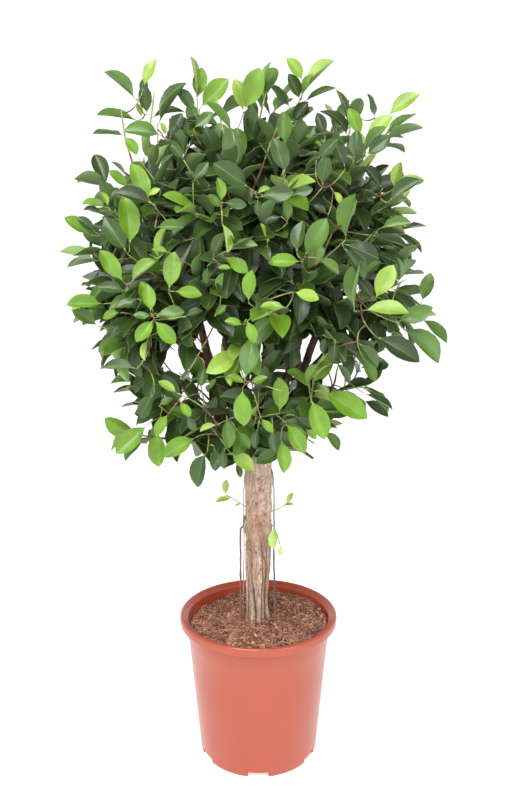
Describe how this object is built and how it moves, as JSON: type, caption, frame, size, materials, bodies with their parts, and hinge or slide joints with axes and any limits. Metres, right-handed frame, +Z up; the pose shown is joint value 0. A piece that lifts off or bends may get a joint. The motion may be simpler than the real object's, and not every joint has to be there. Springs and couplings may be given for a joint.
{
  "type": "potted fig standard",
  "caption": "Laurel fig grown as a standard: a round leafy crown on one thick trunk with aerial roots, in a round plastic nursery pot filled with potting mix.",
  "frame": {"origin": "under the middle of the pot, on the surface that it stands on", "axes": "+Z up along the trunk, -Y towards the front, +X to the right seen from the front"},
  "size_m": [0.6155, 0.5923, 1.1639],
  "materials": {
    "pot": "semi-gloss moulded terracotta-coloured plastic",
    "potting_mix": "rough, fibrous coir and bark",
    "bark": "matt grey-beige bark with dark pores",
    "bough_bark": "matt brown bark",
    "foliage": "glossy leathery leaves, dark to bright green",
    "young_leaves": "soft yellow-green leaves"
  },
  "bodies": {
    "root": {"aerial_root_back": "bark", "aerial_root_left": "bark", "aerial_root_left_thin": "bark", "aerial_root_right": "bark", "bough_back_left": "bough_bark", "bough_back_right": "bough_bark", "bough_left": "bough_bark", "bough_middle": "bough_bark", "bough_right": "bough_bark", "branch_front_left": "bough_bark", "branch_front_right": "bough_bark", "branch_high_back_left": "bough_bark", "branch_high_back_right": "bough_bark", "branch_low_back_left": "bough_bark", "branch_low_back_right": "bough_bark", "branch_low_front": "bough_bark", "branch_low_front_right": "bough_bark", "branch_low_left": "bough_bark", "branch_low_right": "bough_bark", "branch_right": "bough_bark", "branch_upper_front": "bough_bark", "branch_upper_left": "bough_bark", "foliage_low_back_left": "foliage", "foliage_low_back_right": "foliage", "foliage_low_front": "foliage", "foliage_low_front_right": "foliage", "foliage_low_left": "foliage", "foliage_low_right": "foliage", "foliage_middle_back_left": "foliage", "foliage_middle_back_right": "foliage", "foliage_middle_front_left": "foliage", "foliage_middle_front_right": "foliage", "foliage_middle_left": "foliage", "foliage_middle_right": "foliage", "foliage_top": "foliage", "foliage_upper_back_left": "foliage", "foliage_upper_back_right": "foliage", "foliage_upper_front": "foliage", "foliage_upper_left": "foliage", "foliage_upper_right": "foliage", "pot": "pot", "potting_mix": "potting_mix", "trunk": "bark", "water_shoot_left": "young_leaves", "water_shoot_low": "young_leaves", "water_shoot_right": "young_leaves"}
  },
  "joints": []
}
